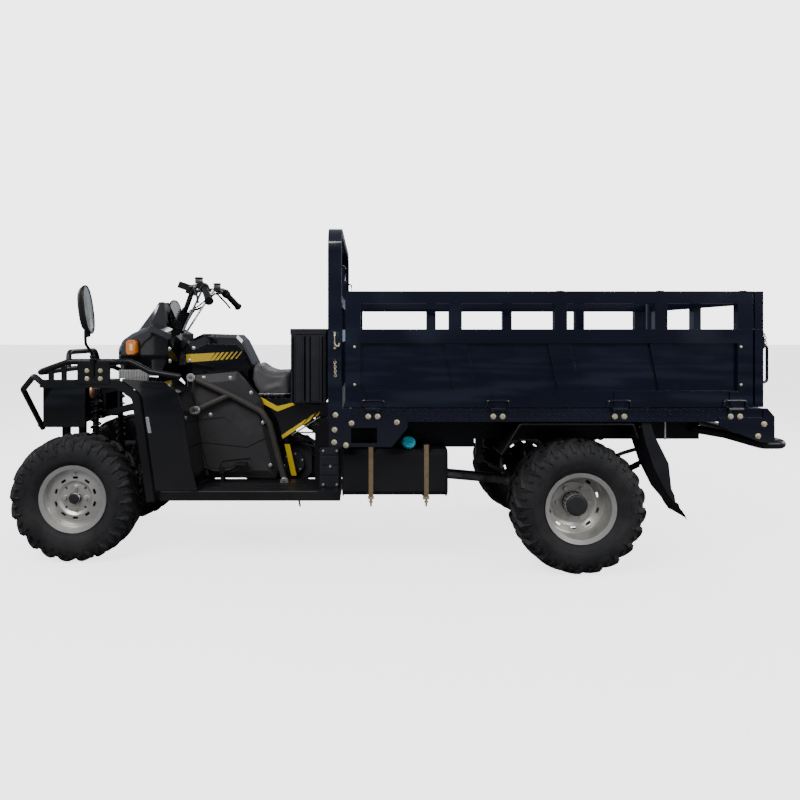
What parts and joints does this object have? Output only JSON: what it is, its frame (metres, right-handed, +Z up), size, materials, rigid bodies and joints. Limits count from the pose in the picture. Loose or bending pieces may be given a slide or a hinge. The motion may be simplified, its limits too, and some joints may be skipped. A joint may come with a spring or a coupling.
{
  "type": "four-wheel cargo quad",
  "caption": "Farm quad with handlebar steering, nose cowl, footboards and a long drop-side cargo bed with hoop headboard.",
  "frame": {"origin": "on the ground under the middle of the vehicle's overall box", "axes": "+X to the tail, -Y to the rider's left, +Z up"},
  "size_m": [3.7729, 1.5277, 1.64],
  "materials": {
    "bed_paint": "gloss navy black paint",
    "frame_black": "satin black powder coat",
    "cowl_black": "gloss black moulding",
    "panel_grey": "matte dark grey moulding",
    "box_grey": "ribbed dark grey moulding",
    "tyre_rubber": "black tread rubber",
    "flap_rubber": "black sheet rubber",
    "rim_silver": "silver stove paint",
    "bare_steel": "bare and dull steel",
    "cast_grey": "dull cast housing",
    "strap_zinc": "yellow passivated zinc",
    "cap_turquoise": "turquoise moulding",
    "amber_lens": "amber lens",
    "clear_lens": "clear lens over a reflector",
    "red_lens": "red lens",
    "screen_dark": "dark tinted screen",
    "seat_vinyl": "grey vinyl cover",
    "mirror_black": "black shell with a silvered glass"
  },
  "bodies": {
    "vehicle": {"battery_box": "box_grey", "bed_floor": "bed_paint", "chassis_rails": "frame_black", "engine_block": "cast_grey", "exhaust": "bare_steel", "footboards": "frame_black", "front_fenders": "cowl_black", "front_frame": "frame_black", "front_guard": "frame_black", "front_shocks": "frame_black", "fuel_cap": "cap_turquoise", "fuel_tank": "frame_black", "grille": "cowl_black", "headboard": "bed_paint", "headlamp": "clear_lens", "indicators": "amber_lens", "leaf_springs": "frame_black", "mirrors": "mirror_black", "mud_flaps": "flap_rubber", "nose_cowl": "cowl_black", "prop_shaft": "bare_steel", "rear_axle": "cast_grey", "rear_bumper": "frame_black", "rear_mudguards": "frame_black", "seat": "seat_vinyl", "side_guards": "frame_black", "side_panels": "panel_grey", "tail_fairings": "cowl_black", "tail_lamps": "red_lens", "tank_cover": "cowl_black", "tank_straps": "strap_zinc", "tool_box": "box_grey", "windscreen": "screen_dark", "wishbones": "frame_black"},
    "knuckle_left": {"knuckle_left": "cast_grey"},
    "knuckle_right": {"knuckle_right": "cast_grey"},
    "wheel_front_left": {"tyre_front_left": "tyre_rubber", "rim_front_left": "rim_silver"},
    "wheel_front_right": {"tyre_front_right": "tyre_rubber", "rim_front_right": "rim_silver"},
    "wheel_rear_left": {"tyre_rear_left": "tyre_rubber", "rim_rear_left": "rim_silver"},
    "wheel_rear_right": {"tyre_rear_right": "tyre_rubber", "rim_rear_right": "rim_silver"},
    "steering": {"steering_column": "frame_black", "handlebar": "frame_black"},
    "tie_rod_left": {"tie_rod_left": "bare_steel"},
    "tie_rod_right": {"tie_rod_right": "bare_steel"},
    "drop_side_left": {"drop_side_left": "bed_paint", "drop_side_left_rail": "bed_paint"},
    "drop_side_right": {"drop_side_right": "bed_paint", "drop_side_right_rail": "bed_paint"},
    "tailgate": {"tailgate": "bed_paint", "tailgate_rail": "bed_paint"},
    "tool_box_lid": {"tool_box_lid": "box_grey"}
  },
  "joints": [
    {"name": "steer_left", "type": "hinge", "parent": "vehicle", "child": "knuckle_left", "pos_m": [-1.5635, -0.318, 0.315], "axis": [0, 0, 1], "range_deg": [-28, 28]},
    {"name": "steer_right", "type": "hinge", "parent": "vehicle", "child": "knuckle_right", "pos_m": [-1.5635, 0.318, 0.315], "axis": [0, 0, 1], "range_deg": [-28, 28]},
    {"name": "handlebar_turn", "type": "hinge", "parent": "vehicle", "child": "steering", "pos_m": [-1.0955, 0, 1.366], "axis": [0.342, 0, 0.9397], "range_deg": [-28, 28]},
    {"name": "tie_rod_left_swing", "type": "hinge", "parent": "knuckle_left", "child": "tie_rod_left", "pos_m": [-1.4935, -0.318, 0.328], "axis": [0, 0, 1], "range_deg": [-28, 28]},
    {"name": "tie_rod_right_swing", "type": "hinge", "parent": "knuckle_right", "child": "tie_rod_right", "pos_m": [-1.4935, 0.318, 0.328], "axis": [0, 0, 1], "range_deg": [-28, 28]},
    {"name": "wheel_front_left_spin", "type": "hinge", "parent": "knuckle_left", "child": "wheel_front_left", "pos_m": [-1.5635, -0.39, 0.315], "axis": [0, 1, 0], "continuous": true},
    {"name": "wheel_front_right_spin", "type": "hinge", "parent": "knuckle_right", "child": "wheel_front_right", "pos_m": [-1.5635, 0.39, 0.315], "axis": [0, 1, 0], "continuous": true},
    {"name": "wheel_rear_left_spin", "type": "hinge", "parent": "vehicle", "child": "wheel_rear_left", "pos_m": [0.8835, -0.543, 0.315], "axis": [0, 1, 0], "continuous": true},
    {"name": "wheel_rear_right_spin", "type": "hinge", "parent": "vehicle", "child": "wheel_rear_right", "pos_m": [0.8835, 0.543, 0.315], "axis": [0, 1, 0], "continuous": true},
    {"name": "drop_side_left_hinge", "type": "hinge", "parent": "vehicle", "child": "drop_side_left", "pos_m": [0.7365, -0.635, 0.778], "axis": [1, 0, 0], "range_deg": [0, 150]},
    {"name": "drop_side_right_hinge", "type": "hinge", "parent": "vehicle", "child": "drop_side_right", "pos_m": [0.7365, 0.635, 0.778], "axis": [-1, 0, 0], "range_deg": [0, 150]},
    {"name": "tailgate_hinge", "type": "hinge", "parent": "vehicle", "child": "tailgate", "pos_m": [1.7565, 0, 0.778], "axis": [0, 1, 0], "range_deg": [0, 120]},
    {"name": "tool_box_lid_hinge", "type": "hinge", "parent": "vehicle", "child": "tool_box_lid", "pos_m": [-0.3165, 0, 1.15], "axis": [0, 1, 0], "range_deg": [0, 80]}
  ],
  "couplings": [
    {"joint": "steer_right", "follows": "steer_left", "ratio": 1},
    {"joint": "handlebar_turn", "follows": "steer_left", "ratio": 1},
    {"joint": "tie_rod_left_swing", "follows": "steer_left", "ratio": -1},
    {"joint": "tie_rod_right_swing", "follows": "steer_left", "ratio": -1}
  ]
}
